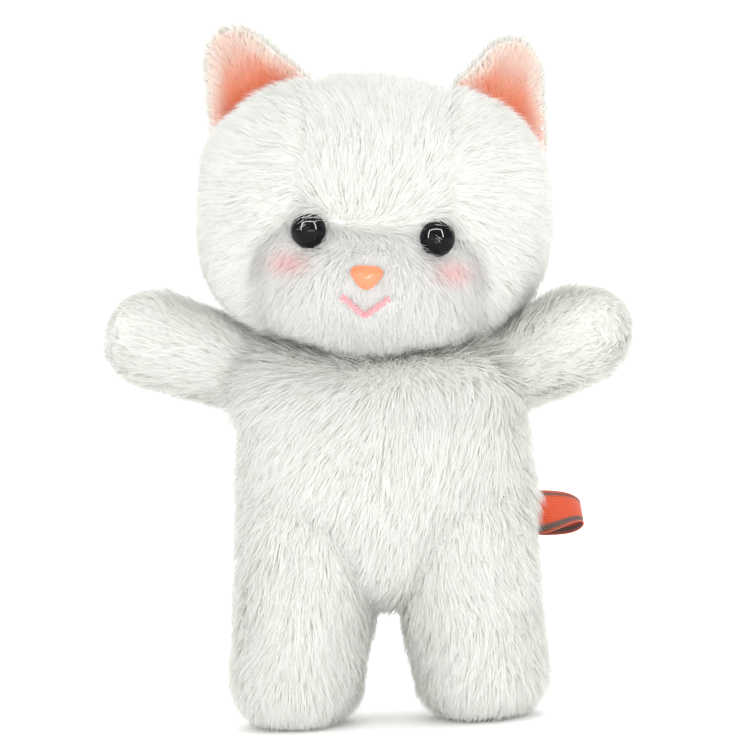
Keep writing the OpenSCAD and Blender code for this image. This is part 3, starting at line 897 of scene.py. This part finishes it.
def nose():
    """A rounded, upside-down triangle with a soft crown."""
    rings, around = 14, 48
    corners, faces = [], []
    for i in range(rings + 1):
        tall = math.sin(math.pi / 2 * i / rings)
        wide = math.cos(math.pi / 2 * i / rings) ** 0.8
        for k in range(around):
            angle = 2 * math.pi * k / around
            bulge = 1 + 0.13 * math.cos(3 * (angle - math.pi / 6))
            x = 4.25 * wide * bulge * math.cos(angle)
            y = 3.3 * wide * bulge * math.sin(angle) + 0.1
            corners.append((x * MM, y * MM, (tall * 3.6 - 0.4) * MM))
    for i in range(rings):
        for k in range(around):
            a, b = i * around + k, i * around + (k + 1) % around
            faces.append((a, b, b + around, a + around))
    faces.append(tuple(reversed(range(around))))
    made = add_object("nose_moulding", make_mesh("nose_moulding", corners, faces))
    turn = facing(0, -5)
    made.matrix_world = on_axis("nose", turn, 3.3) @ turn
    made.data.materials.append(NOSE_PLASTIC)
    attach(made, "head")
    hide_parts("nose")


nose()


def head_surface(x, z):
    """The head skin's point in front of x, z, which are mm in the head's frame."""
    start = HEAD + HEAD_TURN @ Vector((x * MM, -80 * MM, z * MM))
    way = HEAD_TURN @ Vector((0, 1, 0))
    hit, where, _, _ = head_skin.ray_cast(start, way)
    return where if hit else start


def stitch(corners, faces, a, b, radius, out, sides=8, steps=6):
    """Adds one arched thread from a to b to a mesh in the making."""
    along = (b - a).normalized()
    side = along.cross(out).normalized()
    first = len(corners)
    for i in range(steps + 1):
        t = i / steps
        centre = a.lerp(b, t) + out * (0.55 * MM * math.sin(math.pi * t))
        r = radius * MM * (0.45 + 0.55 * math.sin(math.pi * min(max(t, 0.06), 0.94)) ** 0.4)
        for k in range(sides):
            angle = 2 * math.pi * k / sides
            corners.append(centre + side * (r * math.cos(angle)) + out * (r * math.sin(angle)))
    for i in range(steps):
        for k in range(sides):
            p, q = first + i * sides + k, first + i * sides + (k + 1) % sides
            faces.append((p, q, q + sides, p + sides))
    faces.append(tuple(reversed(range(first, first + sides))))
    faces.append(tuple(range(first + steps * sides, first + (steps + 1) * sides)))


def mouth():
    """Satin stitch: threads laid side by side across a V, each a little askew."""
    corners, faces = [], []
    out = HEAD_TURN @ Vector((0, -1, 0))
    count = 27
    line = mouth_line((np.arange(count) + 0.5) / count)
    rng = np.random.default_rng(7)
    for k, (x, z) in enumerate(line):
        lean = 58 if k < count / 2 else 122
        angle = math.radians(lean + rng.normal(0, 11))
        half = 0.92 * rng.uniform(0.85, 1.12)
        centre = head_surface(x, z) + out * (2.6 * MM)
        reach = HEAD_TURN @ Vector((math.cos(angle) * half * MM, 0, math.sin(angle) * half * MM))
        stitch(corners, faces, centre - reach, centre + reach, rng.uniform(0.2, 0.3), out)
    made = add_object("mouth_threads", make_mesh("mouth_threads", corners, faces))
    made.data.materials.append(PINK_THREAD)
    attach(made, "head")
    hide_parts("mouth_stitching")


mouth()


# ---------- label ----------

def label():
    """A ribbon folded into a loop and sewn into the side seam, turned edge-up on its way out."""
    root = Vector(JOINTS["label_flap"]["pos_m"])
    long, wide, puff, turn, thick = 15.0, 13.0, 1.9, math.radians(62), 0.34
    steps, across = 48, 12
    corners, faces, edge = [], [], []
    for layer in (-0.5, 0.5):
        for i in range(steps + 1):
            t = 0.02 + 0.96 * i / steps
            out = long * math.sin(math.pi * t)
            side = -puff * math.sin(2 * math.pi * t)
            dx = math.cos(math.pi * t) * long
            dy = -puff * 2 * math.cos(2 * math.pi * t)
            size = math.hypot(dx, dy)
            nx, ny = -dy / size, dx / size
            spin = -turn * out / long
            for j in range(across + 1):
                v = (j / across - 0.5) * wide * (1 - 0.1 * out / long)
                x = out + nx * thick * layer
                y = side + ny * thick * layer
                y, z = y * math.cos(spin) - v * math.sin(spin), y * math.sin(spin) + v * math.cos(spin)
                corners.append((root.x + x * MM, root.y + y * MM, root.z + (z - 0.06 * out) * MM))
                edge.append(1.0 if j in (1, 2, across - 1) else 0.0)
    row = across + 1
    sheet = (steps + 1) * row
    for layer in (0, 1):
        for i in range(steps):
            for j in range(across):
                a = layer * sheet + i * row + j
                face = (a, a + 1, a + row + 1, a + row)
                faces.append(face if layer else face[::-1])
    rim = [i * row for i in range(steps + 1)] + [steps * row + j for j in range(1, row)]
    rim += [i * row + across for i in range(steps - 1, -1, -1)] + [j for j in range(across - 1, 0, -1)]
    for a, b in zip(rim, rim[1:] + rim[:1]):
        faces.append((a, b, b + sheet, a + sheet))
    made = add_object("label_loop", make_mesh("label_loop", corners, faces))
    marks = made.data.attributes.new("Edge", "FLOAT", "POINT")
    marks.data.foreach_set("value", edge)
    made.data.materials.append(RIBBON)
    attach(made, "label")
    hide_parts("side_label")


label()


# ---------- threads and hidden parts ----------

def ladder_stitches():
    """The hand-sewn closing of the back, one arched thread for each stitch."""
    corners, faces = [], []
    low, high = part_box("back_closing_stitches")
    out = Vector((0, 1, 0))
    count = 9
    for k in range(count):
        z = low.z + (high.z - low.z) * k / (count - 1)
        hit, where, _, _ = torso_skin.ray_cast(Vector((BACK_SEAM, 90 * MM, z)), Vector((0, -1, 0)))
        centre = where if hit else Vector((BACK_SEAM, high.y, z))
        half = Vector((1.7 * MM, 0, 0.5 * MM))
        stitch(corners, faces, centre - half, centre + half, 0.3, out)
    made = add_object("closing_threads", make_mesh("closing_threads", corners, faces))
    made.data.materials.append(WHITE_THREAD)
    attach(made, "torso")
    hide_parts("back_closing_stitches")


ladder_stitches()

for node, coat in (("left_eye_washer", WASHER_PLASTIC), ("right_eye_washer", WASHER_PLASTIC),
                   ("nose_washer", WASHER_PLASTIC), ("neck_seam", WHITE_THREAD), ("neck_stuffing", FILLING),
                   ("left_shoulder_seam", WHITE_THREAD), ("right_shoulder_seam", WHITE_THREAD)):
    slots = frame["nodes"][node].data.materials
    slots.clear()
    slots.append(coat)


# ---------- floor, light and camera ----------

def floor():
    size = 3.0
    mesh = make_mesh("floor", [(-size, -size, 0), (size, -size, 0), (size, size, 0), (-size, size, 0)],
                     [(0, 1, 2, 3)], smooth=False)
    made = add_object("floor", mesh)
    coat, nodes, links, shader = material("studio_floor")
    links.new(mix(nodes, links, "MIX", noise(nodes, links, 3), (0.985, 0.985, 0.985), (0.99, 0.99, 0.99)),
              shader.inputs["Base Color"])
    shader.inputs["Roughness"].default_value = 1.0
    shader.inputs["Specular IOR Level"].default_value = 0.0
    made.data.materials.append(coat)


def lamp(name, place, size, power, aim):
    data = bpy.data.lights.new(name, "AREA")
    data.shape = "RECTANGLE"
    data.size, data.size_y = size
    data.energy = power
    made = add_object(name, data)
    made.location = place
    made.rotation_euler = (Vector(aim) - Vector(place)).to_track_quat("-Z", "Y").to_euler()
    return made


def studio():
    """A bright even room that shows dark in gloss, three soft lamps, and strips for the eyes alone."""
    world = bpy.data.worlds.new("studio")
    world.use_nodes = True
    nodes, links = world.node_tree.nodes, world.node_tree.links
    back = nodes["Background"]
    back.inputs["Color"].default_value = (1.0, 1.0, 1.0, 1)
    path = nodes.new("ShaderNodeLightPath")
    level = nodes.new("ShaderNodeMapRange")
    level.inputs["To Min"].default_value = 1.4
    level.inputs["To Max"].default_value = 0.25
    links.new(path.outputs["Is Glossy Ray"], level.inputs["Value"])
    links.new(level.outputs["Result"], back.inputs["Strength"])
    bpy.context.scene.world = world
    aim = (0, 0, 0.11)
    lamp("key", (-0.4, -0.9, 0.3), (0.5, 0.5), 0.8, aim)
    lamp("fill", (0.2, -0.95, 0.08), (0.8, 0.15), 3.2, (0, 0, 0.05))
    lamp("back", (0.1, 0.9, 0.4), (0.8, 0.6), 3.5, aim)
    scene = bpy.context.scene
    scene.view_settings.view_transform = "Standard"
    scene.cycles.diffuse_bounces = 8        # light wanders deep in white pile
    shiny = bpy.data.collections.new("shiny")
    for name in ("left_eye_moulding", "right_eye_moulding"):
        shiny.objects.link(bpy.data.objects[name])
    for name, place, size, power in (("strip_left", (-0.46, -0.40, 0.42), (0.05, 0.55), 10.0),
                                     ("strip_right", (0.40, -0.47, 0.42), (0.05, 0.55), 10.0),
                                     ("strip_top", (-0.03, -0.43, 0.75), (0.8, 0.05), 14.0)):
        lamp(name, place, size, power, aim).light_linking.receiver_collection = shiny


def camera():
    """Level with the cat's middle and straight in front, rolled a little so that the cat leans."""
    data = bpy.data.cameras.new("camera")
    made = add_object("camera", data)
    target = Vector((2.2 * MM, 0, 97.3 * MM))
    far, view_width, roll = 0.8, 0.21, math.radians(3)
    data.sensor_width = 36
    data.lens = data.sensor_width * (far - 0.01) / view_width
    data.clip_start, data.clip_end = 0.05, 20
    made.location = target + Vector((0, -far, 0))
    level = Euler((math.pi / 2, 0, 0)).to_matrix()
    made.rotation_euler = (Matrix.Rotation(roll, 3, "Y") @ level).to_euler()
    bpy.context.scene.camera = made


floor()
studio()
camera()
